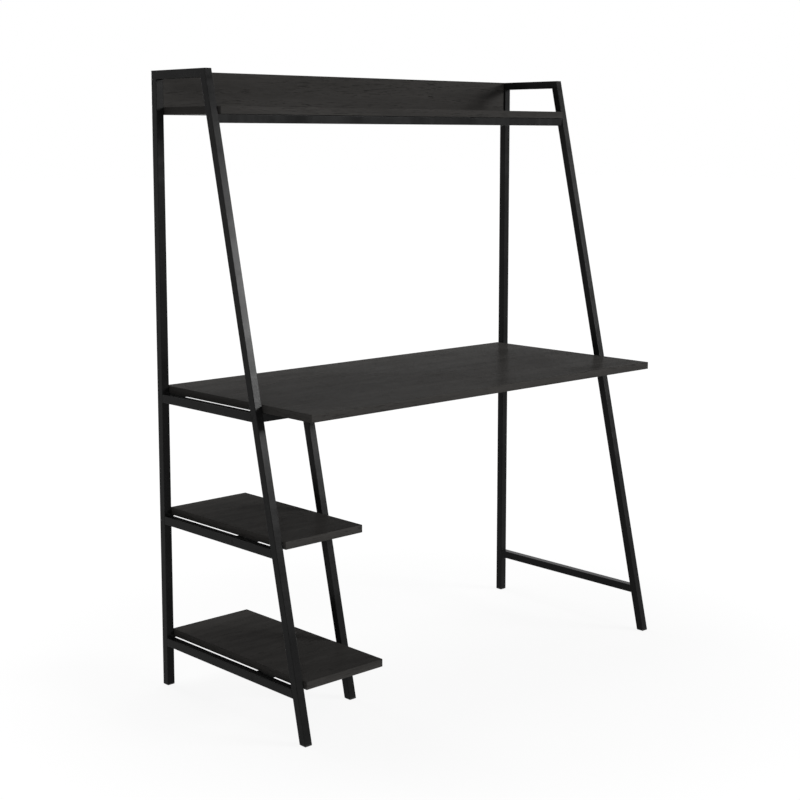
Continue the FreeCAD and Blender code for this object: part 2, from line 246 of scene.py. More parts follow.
# A Mix node's sockets for colours, by index because their names repeat.
MIX_FACTOR, MIX_A, MIX_B, MIX_RESULT = 0, 6, 7, 2


class Wiring:
    """Short ways to add and link the nodes of one tree."""

    def __init__(self, tree: bpy.types.NodeTree) -> None:
        """Keeps the tree."""
        self.tree = tree

    def feed(self, target: Socket, value: Value) -> None:
        """Gives an input its value.

        Args:
            target: an input of one of the tree's nodes.
            value: its plain value, or the socket that feeds it.
        """
        if isinstance(value, Socket):
            self.tree.links.new(value, target)
        else:
            target.default_value = value

    def add(
        self, kind: str, inputs: dict[str | int, Value] | None = None, **settings: object
    ) -> bpy.types.Node:
        """Adds a node.

        Args:
            kind: the node's type, without its ShaderNode prefix.
            inputs: input name or index to a value or to the socket that feeds it.
            settings: the node's own properties.

        Returns:
            The node.
        """
        node = self.tree.nodes.new("ShaderNode" + kind)
        for key, value in settings.items():
            setattr(node, key, value)
        for key, value in (inputs or {}).items():
            self.feed(node.inputs[key], value)
        return node

    def math(self, operation: str, a: Value, b: Value, clamp: bool = False) -> Socket:
        """Returns the result of a Math node."""
        return self.add("Math", {0: a, 1: b}, operation=operation, use_clamp=clamp).outputs[0]

    def plus(self, a: Value, b: Value, clamp: bool = False) -> Socket:
        """Returns a plus b, kept between 0 and 1 if clamp is True."""
        return self.math("ADD", a, b, clamp)

    def minus(self, a: Value, b: Value, clamp: bool = False) -> Socket:
        """Returns a minus b, kept between 0 and 1 if clamp is True."""
        return self.math("SUBTRACT", a, b, clamp)

    def times(self, a: Value, b: Value) -> Socket:
        """Returns a times b."""
        return self.math("MULTIPLY", a, b)

    def vector(self, operation: str, a: Value, b: Value) -> Socket:
        """Returns the result of a Vector Math node."""
        return self.add("VectorMath", {0: a, 1: b}, operation=operation).outputs[0]

    def noise(self, place: Value, scale: Value, detail: float, roughness: float = 0.5) -> Socket:
        """Returns smooth noise, mostly between NOISE_LOW and NOISE_HIGH."""
        inputs = {"Vector": place, "Scale": scale, "Detail": detail, "Roughness": roughness}
        return self.add("TexNoise", inputs).outputs["Fac"]

    def between(
        self, value: Value, low: Value, high: Value, to_low: Value = 0.0, to_high: Value = 1.0
    ) -> Socket:
        """Returns value carried smoothly from the range low..high to to_low..to_high."""
        inputs = {"Value": value, "From Min": low, "From Max": high, "To Min": to_low, "To Max": to_high}
        return self.add("MapRange", inputs, interpolation_type="SMOOTHSTEP").outputs[0]

    def colours(self, factor: Value, a: Value, b: Value) -> Socket:
        """Returns colour a where factor is 0 and b where it is 1."""
        inputs = {MIX_FACTOR: factor, MIX_A: a, MIX_B: b}
        return self.add("Mix", inputs, data_type="RGBA").outputs[MIX_RESULT]


def blank_wiring(owner: bpy.types.Material | bpy.types.World) -> Wiring:
    """Empties the nodes of a material or a world.

    Args:
        owner: the material or the world.

    Returns:
        The wiring of its tree.
    """
    owner.use_nodes = True
    owner.node_tree.nodes.clear()
    return Wiring(owner.node_tree)


@dataclass(frozen=True)
class Effect:
    """A shader node group that several finishes share.

    Attributes:
        name: the group's name.
        inputs: names of its inputs, which are floats but for Vector.
        outputs: names of its outputs, which are all floats.
    """

    name: str
    inputs: tuple[str, ...]
    outputs: tuple[str, ...]

    def tree(self) -> bpy.types.NodeTree:
        """Makes the group on the first call.

        Returns:
            The group's tree.
        """
        found = bpy.data.node_groups.get(self.name)
        if found:
            return found
        tree = bpy.data.node_groups.new(self.name, "ShaderNodeTree")
        for name in self.inputs:
            kind = "NodeSocketVector" if name == "Vector" else "NodeSocketFloat"
            tree.interface.new_socket(name, in_out="INPUT", socket_type=kind)
        for name in self.outputs:
            tree.interface.new_socket(name, in_out="OUTPUT", socket_type="NodeSocketFloat")
        given = tree.nodes.new("NodeGroupInput")
        result = tree.nodes.new("NodeGroupOutput")
        made = self.wire(Wiring(tree), {name: given.outputs[name] for name in self.inputs})
        for name, socket in made.items():
            tree.links.new(socket, result.inputs[name])
        return tree

    def wire(self, wiring: Wiring, given: dict[str, Socket]) -> dict[str, Socket]:
        """Adds the group's nodes and returns output name to socket."""
        raise NotImplementedError

    def use(self, wiring: Wiring, **inputs: Value) -> dict[str, Socket]:
        """Places the group in a material.

        Args:
            wiring: the material's tree.
            inputs: input name, with _ for a space, to value or socket.

        Returns:
            Output name to socket.
        """
        named = {key.replace("_", " "): value for key, value in inputs.items()}
        node = wiring.add("Group", named, node_tree=self.tree())
        return {name: node.outputs[name] for name in self.outputs}


class OakGrain(Effect):
    """Printed and embossed oak. The grain runs along the first coordinate."""

    ALONG_GRAIN = (0.06, 1.0, 1.0)
    PORE_LENGTH = (0.6, 1.0, 1.0)
    WANDER_STRETCH = (1.0, 2.0, 2.0)
    WANDER_SCALE = 2.2
    WANDER_DEPTH = 0.03
    SLOWNESS = 0.45
    FOLDS = 7.0
    HALF_FOLD = 0.5
    PORE_FINENESS = 1.7
    PORE_EDGE = (0.585, 0.64)
    POROUS_GROWTH = (0.25, 0.8)
    FEWEST_PORES = 0.35
    BAND_SHARE = 0.5
    GROWTH_SHARE = 0.2
    FIBRE_SHARE = 0.3
    FIBRE_HEIGHT = 0.35

    def wire(self, wiring: Wiring, given: dict[str, Socket]) -> dict[str, Socket]:
        """Stretched noises: broad bands, growth lines folded out of a slow noise, fibres and pores.

        Args:
            wiring: the group's tree.
            given: input name to socket.

        Returns:
            Output name to socket.
        """
        place = wiring.vector("MULTIPLY", given["Vector"], self.ALONG_GRAIN)
        wandering = wiring.vector("MULTIPLY", given["Vector"], self.WANDER_STRETCH)
        bend = wiring.noise(wandering, self.WANDER_SCALE, detail=2.0)
        shift = wiring.times(wiring.minus(bend, NOISE_MIDDLE), self.WANDER_DEPTH)
        place = wiring.vector("ADD", place, wiring.add("CombineXYZ", {1: shift, 2: shift}).outputs[0])
        bands = wiring.noise(place, given["Bands"], detail=3.0, roughness=0.55)
        slow = wiring.noise(place, wiring.times(given["Bands"], self.SLOWNESS), detail=1.0)
        folded = wiring.math("PINGPONG", wiring.times(slow, self.FOLDS), self.HALF_FOLD)
        growth = wiring.between(folded, 0.0, self.HALF_FOLD)
        fibres = wiring.noise(place, given["Fibres"], detail=5.0, roughness=0.7)
        short = wiring.vector("MULTIPLY", place, self.PORE_LENGTH)
        fineness = wiring.times(given["Fibres"], self.PORE_FINENESS)
        holes = wiring.noise(short, fineness, detail=2.0, roughness=0.6)
        where = wiring.between(growth, *self.POROUS_GROWTH, self.FEWEST_PORES, 1.0)
        pores = wiring.times(wiring.between(holes, *self.PORE_EDGE), where)
        tone = wiring.times(wiring.between(bands, NOISE_LOW, NOISE_HIGH), self.BAND_SHARE)
        tone = wiring.plus(tone, wiring.times(growth, self.GROWTH_SHARE))
        shimmer = wiring.between(fibres, NOISE_LOW, NOISE_HIGH)
        tone = wiring.plus(tone, wiring.times(shimmer, self.FIBRE_SHARE))
        height = wiring.minus(wiring.times(fibres, self.FIBRE_HEIGHT), pores)
        return {"Tone": tone, "Pores": pores, "Height": height}


class OrangePeel(Effect):
    """The soft dimples of sprayed and baked powder."""

    WIDE_SCALE = 0.25
    FLECK_SCALE = 1.6
    FLECK_EDGE = (0.66, 0.74)
    FINE_SHARE = 0.6
    WIDE_SHARE = 0.4

    def wire(self, wiring: Wiring, given: dict[str, Socket]) -> dict[str, Socket]:
        """Two noises, a cell and four cells wide, and sparse flecks of a third.

        Args:
            wiring: the group's tree.
            given: input name to socket.

        Returns:
            Output name to socket.
        """
        place, cell = given["Vector"], given["Cell"]
        fine = wiring.noise(place, wiring.math("DIVIDE", 1.0, cell), detail=1.5)
        wide = wiring.noise(place, wiring.math("DIVIDE", self.WIDE_SCALE, cell), detail=1.0)
        height = wiring.plus(wiring.times(fine, self.FINE_SHARE), wiring.times(wide, self.WIDE_SHARE))
        specks = wiring.noise(place, wiring.math("DIVIDE", self.FLECK_SCALE, cell), detail=0.0)
        return {"Height": height, "Flecks": wiring.between(specks, *self.FLECK_EDGE)}


class EdgeWearAndHighlight(Effect):
    """Where the coat is rubbed along the long edges of a bar with its axis on the third coordinate: real
    rubbing, and a painted highlight along the same edges.
    """

    RAGGED_SCALE = 90.0
    RAGGED_NOISE = (0.35, 0.65)
    RAGGED_WIDTHS = (0.35, 1.4)

    def wire(self, wiring: Wiring, given: dict[str, Socket]) -> dict[str, Socket]:
        """1 on the edges and 0 a width away: on a face, the smaller of |x| and |y| nears the half side.

        Args:
            wiring: the group's tree.
            given: input name to socket.

        Returns:
            Output name to socket.
        """
        split = wiring.add("SeparateXYZ", {0: given["Vector"]})
        x = wiring.math("ABSOLUTE", split.outputs[0], 0.0)
        y = wiring.math("ABSOLUTE", split.outputs[1], 0.0)
        nearest = wiring.math("MINIMUM", x, y)
        ragged = wiring.noise(given["Vector"], self.RAGGED_SCALE, detail=3.0, roughness=0.6)
        widths = wiring.between(ragged, *self.RAGGED_NOISE, *self.RAGGED_WIDTHS)
        start = wiring.minus(given["Half side"], wiring.times(given["Width"], widths))
        # The mask marks the rubbed edges, and where a highlight is painted on them.
        return {"Mask": wiring.between(nearest, start, given["Half side"])}


class Handling(Effect):
    """Slow changes of gloss where hands, cloths and packing have rubbed."""

    WIPE_STRETCH = (0.25, 1.0, 1.0)
    WIPE_SCALE = 60.0
    WIPE_SHARE = 0.5

    def wire(self, wiring: Wiring, given: dict[str, Socket]) -> dict[str, Socket]:
        """A slow noise for patches and a finer one for wipe marks, both about 0.

        Args:
            wiring: the group's tree.
            given: input name to socket.

        Returns:
            Output name to socket.
        """
        slow = wiring.noise(given["Vector"], given["Patches"], detail=3.0)
        patches = wiring.minus(slow, NOISE_MIDDLE)
        drawn = wiring.vector("MULTIPLY", given["Vector"], self.WIPE_STRETCH)
        fine = wiring.noise(drawn, self.WIPE_SCALE, detail=4.0, roughness=0.65)
        wipes = wiring.minus(fine, NOISE_MIDDLE)
        return {"Change": wiring.plus(patches, wiring.times(wipes, self.WIPE_SHARE))}


OAK_GRAIN = OakGrain("oak_grain", ("Vector", "Bands", "Fibres"), ("Tone", "Pores", "Height"))
ORANGE_PEEL = OrangePeel("orange_peel", ("Vector", "Cell"), ("Height", "Flecks"))
EDGE_WEAR_AND_HIGHLIGHT = EdgeWearAndHighlight("edge_wear_and_highlight", ("Vector", "Half side", "Width"), ("Mask",))
HANDLING = Handling("handling", ("Vector", "Patches"), ("Change",))


# ---- Finishes ----------------------------------------------------------------------------------
# Half the side of a bar so wide that no rubbed edge, and no painted edge highlight, reaches a part laid out
# by it.
FAR_FROM_EDGES = 1.0


@dataclass(frozen=True)
class Placement:
    """Where a pattern's own origin is, and how its axes are turned, in radians."""

    centre: Triple = (0.0, 0.0, 0.0)
    turn: Triple = (0.0, 0.0, 0.0)

    def socket(self, wiring: Wiring) -> Socket:
        """Reads the object's coordinates from centre, along the turned axes.

        Args:
            wiring: the material's tree.

        Returns:
            The pattern's coordinates.
        """
        place = wiring.add("TexCoord").outputs["Object"]
        inputs = {"Vector": place, "Location": self.centre, "Rotation": self.turn}
        return wiring.add("Mapping", inputs, vector_type="TEXTURE").outputs[0]


@dataclass(frozen=True)
class Flattened:
    """Pattern places read from the surface itself: metres along the piece and across it."""

    start: float = 0.0

    def socket(self, wiring: Wiring) -> Socket:
        """Returns the pattern map's coordinates, moved on by start."""
        flat = wiring.add("UVMap", uv_map=PATTERN_MAP).outputs[0]
        return wiring.vector("ADD", flat, (self.start, self.start, self.start))


def new_material(name: str, **sockets: Value) -> tuple[bpy.types.Material, Wiring, bpy.types.Node]:
    """Material with one Principled shader.

    Args:
        name: the material's name.
        sockets: input name of the shader, with _ for a space, to its plain value.

    Returns:
        The material, its wiring and the shader.
    """
    material = bpy.data.materials.new(name)
    wiring = blank_wiring(material)
    shader = wiring.add("BsdfPrincipled", {key.replace("_", " "): value for key, value in sockets.items()})
    wiring.add("OutputMaterial", {"Surface": shader.outputs[0]})
    return material, wiring, shader


def set_relief(wiring: Wiring, shader: bpy.types.Node, height: Socket, depth: float) -> None:
    """Feeds the shader's normal from a height between 0 and 1, worth depth in metres."""
    bump = wiring.add("Bump", {"Height": height, "Distance": depth, "Strength": 1.0})
    wiring.feed(shader.inputs["Normal"], bump.outputs[0])


def grey(level: float, warmth: float = 0.0) -> tuple[float, float, float, float]:
    """Returns a linear grey, with warmth added to red and taken from blue as a share."""
    return (level * (1 + warmth), level, level * (1 - warmth), 1.0)


def mottled(
    wiring: Wiring, tone: Socket, level: float, shares: tuple[float, float], warmth: float = 0.0
) -> Socket:
    """Returns a grey that goes from the first to the second share of level as tone goes from 0 to 1."""
    dark, light = (grey(level * share, warmth) for share in shares)
    return wiring.colours(tone, dark, light)


@dataclass(frozen=True)
class PowderCoat:
    """Satin black powder on steel: orange peel, rubbed edges that also carry a painted highlight, roll lines
    of the tube below.

    Attributes:
        level: the coat's grey.
        shares: its darkest and its lightest shade, as shares of level.
        handled: the change by handling, down and up, at which these shades are reached.
        patches: scale of the handling.
        worn_and_highlight_level: grey of the flecks, and of the rubbed edges with their painted highlight.
        fleck_cover: how much of the coat's colour a fleck hides.
        rub_and_highlight_cover: how much of it the rubbed edges and their painted highlight hide.
        rubbed_polish: what the rubbing takes off the roughness at the edges.
        roughness: the coat's roughness without handling.
        roughness_change: roughness gained for each unit of handling.
        gloss: strength of the reflections, as specular level.
        cell: width of a dimple.
        peel_depth: depth of the dimples.
        edge_rub_and_highlight_width: how far the rubbing and the painted highlight reach from an edge.
        roll_lines: scale of the roll lines, across the bar twice and along it.
        roll_share: their height as a share of the dimples'.
    """

    level: float = 0.009
    shares: tuple[float, float] = (0.85, 1.15)
    handled: float = 0.24
    patches: float = 7.0
    worn_and_highlight_level: float = 0.022
    fleck_cover: float = 0.35
    rub_and_highlight_cover: float = 0.55
    rubbed_polish: float = 0.10
    roughness: float = 0.22
    roughness_change: float = 0.35
    gloss: float = 0.052
    cell: float = 1.1 * MM
    peel_depth: float = 0.018 * MM
    edge_rub_and_highlight_width: float = 1.3 * MM
    roll_lines: Triple = (700.0, 700.0, 3.0)
    roll_share: float = 0.25

    def build(
        self, name: str, placement: Placement = Placement(), half_side: float = FAR_FROM_EDGES
    ) -> bpy.types.Material:
        """Builds the material.

        Args:
            name: the material's name.
            placement: the bar's middle and the turn of its axis.
            half_side: half the bar's side.

        Returns:
            The material.
        """
        material, wiring, shader = new_material(name, Specular_IOR_Level=self.gloss)
        place = placement.socket(wiring)
        peel = ORANGE_PEEL.use(wiring, Vector=place, Cell=self.cell)
        # Mask of the rubbed edges. It also carries the painted highlight on the arrises.
        rubbed_and_highlit = EDGE_WEAR_AND_HIGHLIGHT.use(wiring, Vector=place, Half_side=half_side, Width=self.edge_rub_and_highlight_width)["Mask"]
        handling = HANDLING.use(wiring, Vector=place, Patches=self.patches)["Change"]
        rolled = wiring.vector("MULTIPLY", place, self.roll_lines)
        lines = wiring.noise(rolled, scale=1.0, detail=1.0)

        base = mottled(wiring, wiring.between(handling, -self.handled, self.handled), self.level, self.shares)
        base = wiring.colours(wiring.times(peel["Flecks"], self.fleck_cover), base, grey(self.worn_and_highlight_level))
        # The edges are lightened towards the worn grey. This is partly rubbed coat and partly a painted
        # highlight along the arrises.
        base = wiring.colours(wiring.times(rubbed_and_highlit, self.rub_and_highlight_cover), base, grey(self.worn_and_highlight_level))
        wiring.feed(shader.inputs["Base Color"], base)

        rough = wiring.plus(wiring.times(handling, self.roughness_change), self.roughness)
        rough = wiring.minus(rough, wiring.times(rubbed_and_highlit, self.rubbed_polish), clamp=True)
        wiring.feed(shader.inputs["Roughness"], rough)
        height = wiring.plus(peel["Height"], wiring.times(lines, self.roll_share))
        set_relief(wiring, shader, height, self.peel_depth)
        return material


@dataclass(frozen=True)
class OakLaminate:
    """Black oak paper pressed on board, or the matching edge band.

    Attributes:
        dark: grey of the darkest wood.
        light: grey of the lightest wood.
        warmth: what red gains and blue loses, as a share.
        pore_level: grey at the bottom of the pores.
        pore_cover: how much of the wood's colour a pore hides.
        pore_roughness: roughness that a pore adds.
        patches: scale of the handling.
        roughness: roughness without handling, between the pores.
        roughness_change: roughness gained for each unit of handling.
        gloss: strength of the reflections, as specular level.
        emboss: depth of the pressed grain.
        bands: scale of the broad bands.
        fibres: scale of the fibres.
    """

    dark: float = 0.031
    light: float = 0.052
    warmth: float = 0.045
    pore_level: float = 0.012
    pore_cover: float = 0.7
    pore_roughness: float = 0.25
    patches: float = 4.0
    roughness: float = 0.25
    roughness_change: float = 0.3
    gloss: float = 0.00038
    emboss: float = 0.10 * MM
    bands: float = 22.0
    fibres: float = 420.0

    def build(self, name: str, placement: Placement | Flattened) -> bpy.types.Material:
        """Builds the material. Its grain runs along the placement's first axis.

        Args:
            name: the material's name.
            placement: where the pattern lies.

        Returns:
            The material.
        """
        material, wiring, shader = new_material(name, Specular_IOR_Level=self.gloss)
        place = placement.socket(wiring)
        grain = OAK_GRAIN.use(wiring, Vector=place, Bands=self.bands, Fibres=self.fibres)
        handling = HANDLING.use(wiring, Vector=place, Patches=self.patches)["Change"]
        wood = wiring.colours(grain["Tone"], grey(self.dark, self.warmth), grey(self.light, self.warmth))
        pores = wiring.times(grain["Pores"], self.pore_cover)
        wood = wiring.colours(pores, wood, grey(self.pore_level, self.warmth))
        wiring.feed(shader.inputs["Base Color"], wood)
        rough = wiring.plus(wiring.times(handling, self.roughness_change), self.roughness)
        rough = wiring.plus(rough, wiring.times(grain["Pores"], self.pore_roughness), clamp=True)
        wiring.feed(shader.inputs["Roughness"], rough)
        set_relief(wiring, shader, grain["Height"], self.emboss)
        return material


@dataclass(frozen=True)
class MouldedPlastic:
    """Black polyamide with the fine etched texture of its mould.

    Attributes:
        level: the plastic's grey.
        shares: its darkest and its lightest shade, as shares of level.
        handled: the change by handling, down and up, at which these shades are reached.
        patches: scale of the handling.
        roughness: roughness without handling.
        roughness_change: roughness gained for each unit of handling.
        gloss: strength of the reflections, as specular level.
        cell: width of a dimple of the texture.
        texture_depth: depth of the dimples.
    """

    level: float = 0.008
    shares: tuple[float, float] = (0.8, 1.25)
    handled: float = 0.3
    patches: float = 40.0
    roughness: float = 0.55
    roughness_change: float = 0.3
    gloss: float = 0.06
    cell: float = 0.45 * MM
    texture_depth: float = 0.02 * MM

    def build(self, name: str, placement: Placement = Placement()) -> bpy.types.Material:
        """Builds the material.

        Args:
            name: the material's name.
            placement: where the pattern lies.

        Returns:
            The material.
        """
        material, wiring, shader = new_material(name, Specular_IOR_Level=self.gloss)
        place = placement.socket(wiring)
        texture = ORANGE_PEEL.use(wiring, Vector=place, Cell=self.cell)
        handling = HANDLING.use(wiring, Vector=place, Patches=self.patches)["Change"]
        base = mottled(wiring, wiring.between(handling, -self.handled, self.handled), self.level, self.shares)
        wiring.feed(shader.inputs["Base Color"], base)
        rough = wiring.plus(wiring.times(handling, self.roughness_change), self.roughness, clamp=True)
        wiring.feed(shader.inputs["Roughness"], rough)
        set_relief(wiring, shader, texture["Height"], self.texture_depth)
        return material


@dataclass(frozen=True)
class PlatedSteel:
    """Zinc on steel, clear or black: a fine crystal pattern under a soft texture.

    Attributes:
        level: the zinc's grey.
        roughness: roughness without handling.
        warmth: what red gains and blue loses, as a share.
        shares: the darkest and the lightest crystals, as shares of level.
        crystals: scale of the crystals.
        patches: scale of the handling.
        roughness_change: roughness gained for each unit of handling.
        cell: width of a dimple of the texture.
        texture_depth: depth of the dimples.
    """

    level: float
    roughness: float
    warmth: float = 0.0
    shares: tuple[float, float] = (0.85, 1.1)
    crystals: float = 900.0
    patches: float = 120.0
    roughness_change: float = 0.5
    cell: float = 0.3 * MM
    texture_depth: float = 0.008 * MM

    def build(self, name: str) -> bpy.types.Material:
        """Builds the material.

        Args:
            name: the material's name.

        Returns:
            The material.
        """
        material, wiring, shader = new_material(name, Metallic=1.0)
        place = Placement().socket(wiring)
        crystals = wiring.add("TexVoronoi", {"Vector": place, "Scale": self.crystals}).outputs["Color"]
        tone = wiring.add("SeparateColor", {0: crystals}).outputs[0]
        handling = HANDLING.use(wiring, Vector=place, Patches=self.patches)["Change"]
        base = mottled(wiring, tone, self.level, self.shares, self.warmth)
        wiring.feed(shader.inputs["Base Color"], base)
        rough = wiring.plus(wiring.times(handling, self.roughness_change), self.roughness, clamp=True)
        wiring.feed(shader.inputs["Roughness"], rough)
        texture = ORANGE_PEEL.use(wiring, Vector=place, Cell=self.cell)
        set_relief(wiring, shader, texture["Height"], self.texture_depth)
        return material


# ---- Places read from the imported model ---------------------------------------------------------
def box_of(node: str) -> np.ndarray:
    """Returns the lowest and highest corner of a CAD node, as a (2, 3) array."""
    return np.array([list(corner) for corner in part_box(node)])


def parts_of(node: str, reach: float) -> np.ndarray:
    """Boxes of a node's separate parts.

    Args:
        node: a node of several like parts.
        reach: more than a part's size and less than the distance between two.

    Returns:
        (parts, 2, 3), the lowest and the highest corner of each. A part is all that lies within
        reach of the first point that isn't in a part yet.
    """
    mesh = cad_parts[node].data
    points = np.empty(len(mesh.vertices) * 3, np.float32)
    mesh.vertices.foreach_get("co", points)
    points = points.reshape(-1, 3).astype(float)
    boxes = []
    while len(points):
        near = np.linalg.norm(points - points[0], axis=1) < reach
        boxes.append([points[near].min(axis=0), points[near].max(axis=0)])
        points = points[~near]
    return np.array(boxes)


def lean_of(node: str) -> float:
    """Lean from the upright of a square tube with level ends.

    A tube of side t that leans by a fills a box whose depth d and height h keep to
    d cos a - h sin a = t, so a = acos(t / r) - atan2(h, d), with r the box's diagonal.

    Args:
        node: the tube's node.

    Returns:
        The lean to the back, in radians.
    """
    side, depth, height = np.ptp(box_of(node), axis=0)
    return float(math.acos(side / math.hypot(depth, height)) - math.atan2(height, depth))


LEAN = lean_of("inner_leg")
UP_THE_LEG = np.array([0.0, math.sin(LEAN), math.cos(LEAN)])


def dress(node: str, material: bpy.types.Material) -> None:
    """Gives a CAD node its finish.

    Args:
        node: the node.
        material: the finish, for all its faces.
    """
    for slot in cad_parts[node].material_slots:
        slot.material = material
    log.info("%s: dressed in %s", node, material.name)


# ---- Steel frame -------------------------------------------------------------------------------
class Along(Enum):
    """Which way a bar runs: the turn that brings the third axis there, in radians."""

    UPRIGHT = (0.0, 0.0, 0.0)
    LEANING = (-LEAN, 0.0, 0.0)
    DEPTH = (-math.pi / 2, 0.0, 0.0)
    WIDTH = (0.0, math.pi / 2, 0.0)


@dataclass(frozen=True)
class Bar:
    """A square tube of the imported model."""

    node: str
    along: Along

    def placement(self) -> Placement:
        """Finds the tube's middle line. That of a leaning tube is met at the middle of its foot.

        Returns:
            A point of the line, and the turn of the tube's axes.
        """
        low, high = box_of(self.node)
        middle = (low + high) / 2
        if self.along is Along.LEANING:
            middle[1:] = low[1] + self.side() / math.cos(LEAN) / 2, low[2]
        return Placement(tuple(middle), self.along.value)

    def side(self) -> float:
        """Returns the tube's side, which is the smallest size of its box."""
        return float(np.ptp(box_of(self.node), axis=0).min())

    def back_face(self, z: float) -> float:
        """Returns the y of a leaning leg's back face at height z."""
        low = box_of(self.node)[0]
        return float(low[1] + self.side() / math.cos(LEAN) + (z - low[2]) * math.tan(LEAN))

    def dress(self, coat: PowderCoat) -> None:
        """Coats the tube."""
        dress(self.node, coat.build(self.node + "_coat", self.placement(), self.side() / 2))


class Joint(Enum):
    """How the parts of a weld meet: the angle that the bead's section sweeps, in degrees."""

    CORNER = 90.0
    FLUSH = 180.0


@dataclass(frozen=True)
class WeldBead:
    """A weld with the ripples of its puddles.

    Attributes:
        size: radius of the bead's section.
        ripple: height of the ripples, as a share of size.
        pitch: length of a ripple.
        tip: square of the radius at an end, as a share of size squared.
        sink: depth of the section's lowest point, as a share of the radius.
        spacing: length between two sections.
        section_steps: points on the section's arc.
        seam_height: height of a flush seam, as a share of the radius.
        smooth_below: angle in degrees below which faces are shaded as one.
    """

    size: float = 1.6 * MM
    ripple: float = 0.22
    pitch: float = 1.6 * MM
    tip: float = 0.02
    sink: float = 0.5
    spacing: float = 0.25 * MM
    section_steps: int = 9
    seam_height: float = 0.35
    smooth_below: float = 70.0

    def along(
        self, base: np.ndarray, out: np.ndarray, away: np.ndarray, joint: Joint = Joint.CORNER
    ) -> Surface:
        """Bead along a line.

        With s the length along the line and f from 0 to the joint's sweep, a point is
        base + r (out cos f + away sin f), where r = size (1 + ripple (|sin(pi s / pitch)| - 1/2)),
        swelling from the tip's share of it over the first and last pitch. One more point of each
        section lies below the line, inside the metal.

        Args:
            base: (n, 3) points of the line.
            out: (n, 3) or (3,), direction in the one face, away from the line.
            away: (n, 3) or (3,), direction out of that face.
            joint: how the parts meet.

        Returns:
            The bead, closed at both ends.
        """
        out, away = np.broadcast_to(out, base.shape), np.broadcast_to(away, base.shape)
        length = np.concatenate([[0.0], np.cumsum(np.linalg.norm(np.diff(base, axis=0), axis=1))])
        s = np.linspace(0, length[-1], int(length[-1] / self.spacing) + 2)
        base, out, away = (
            np.stack([np.interp(s, length, values[:, axis]) for axis in range(3)], axis=-1)
            for values in (base, out, away)
        )
        taper = np.sqrt(np.clip(np.minimum(s, s[-1] - s) / self.pitch, self.tip, 1.0))
        radius = self.size * taper * (1 + self.ripple * (np.abs(np.sin(np.pi * s / self.pitch)) - 0.5))
        f = np.radians(np.linspace(0, joint.value, self.section_steps))
        arc = out[:, None] * np.cos(f)[None, :, None] + away[:, None] * np.sin(f)[None, :, None]
        arc = base[:, None] + radius[:, None, None] * arc
        half = math.radians(joint.value / 2)
        under = out * math.cos(half) + away * math.sin(half)
        below = base[:, None] - self.sink * radius[:, None, None] * under[:, None]
        return lofted(np.concatenate([arc, below], axis=1))

    def seam(self, base: np.ndarray, out: np.ndarray, away: np.ndarray) -> Surface:
        """Returns a low bead over a joint whose two parts lie flush."""
        return self.along(base, out, np.asarray(away) * self.seam_height, Joint.FLUSH)

    def lay(self, name: str, beads: list[Surface], coat: bpy.types.Material) -> None:
        """Makes one piece of several beads, all with the same coat."""
        piece = made_object(name, joined(beads), coat, self.smooth_below)


def line(start: Triple, end: Triple) -> np.ndarray:
    """Returns the two ends of a straight line as a (2, 3) array."""
    return np.array([start, end], float)


@dataclass
class SideFrame:
    """One welded side frame: rear leg, leaning front leg and the rails between them.

    Attributes:
        side: left or right, as in the nodes' names.
        rails: the rails' names, without side.
        coat: the frame's finish.
        bead: the welds at the rails' ends.
        corner: radius of the tubes' edges, which the beads keep off.
    """

    side: str
    rails: tuple[str, ...]
    coat: PowderCoat = PowderCoat()
    bead: WeldBead = WeldBead()
    corner: float = 1.5 * MM

    def build(self) -> None:
        """Coats the tubes and lays the weld beads."""
        rear = Bar(f"{self.side}_rear_leg", Along.UPRIGHT)
        front = Bar(f"{self.side}_front_leg", Along.LEANING)
        rails = [Bar(f"{self.side}_{rail}_rail", Along.DEPTH) for rail in self.rails]
        for bar in (rear, front, *rails):
            bar.dress(self.coat)
        beads = [bead for rail in rails for bead in self.rail_beads(rail, rear, front)]
        self.bead.lay(f"{self.side}_frame_weld_beads", beads, self.coat.build(f"{self.side}_weld_coat"))

    def rail_beads(self, rail: Bar, rear: Bar, front: Bar) -> list[Surface]:
        """Beads at both ends of a rail.

        Each end has a fillet under the rail. Below the top rail it also has one above the rail,
        and a seam on the inner side, where rail and leg lie flush.

        Args:
            rail: the rail.
            rear: the leg at its back end.
            front: the leg at its front end.

        Returns:
            The beads.
        """
        low, high = box_of(rail.node)
        x_low, x_high = low[0] + self.corner, high[0] - self.corner
        rear_y = box_of(rear.node)[0, 1]
        is_top = rail.node.endswith("top_rail")
        beads = []
        under, over = (low[2], -1.0), (high[2], 1.0)
        for z, up in [under] if is_top else [under, over]:
            front_y = front.back_face(z)
            at_rear = line((x_low, rear_y, z), (x_high, rear_y, z))
            at_front = line((x_low, front_y, z), (x_high, front_y, z))
            beads.append(self.bead.along(at_rear, (0, 0, up), (0, -1, 0)))
            beads.append(self.bead.along(at_front, UP_THE_LEG * up, (0, 1, 0)))
        if not is_top:
            inner = min(low[0], high[0], key=abs)
            inward = (math.copysign(1.0, -inner), 0, 0)
            z_low, z_high = low[2] + self.corner, high[2] - self.corner
            y_low, y_high = front.back_face(z_low), front.back_face(z_high)
            rear_seam = line((inner, rear_y, z_low), (inner, rear_y, z_high))
            front_seam = line((inner, y_low, z_low), (inner, y_high, z_high))
            beads.append(self.bead.seam(rear_seam, (0, 1, 0), inward))
            beads.append(self.bead.seam(front_seam, (0, math.cos(LEAN), -math.sin(LEAN)), inward))
        return beads


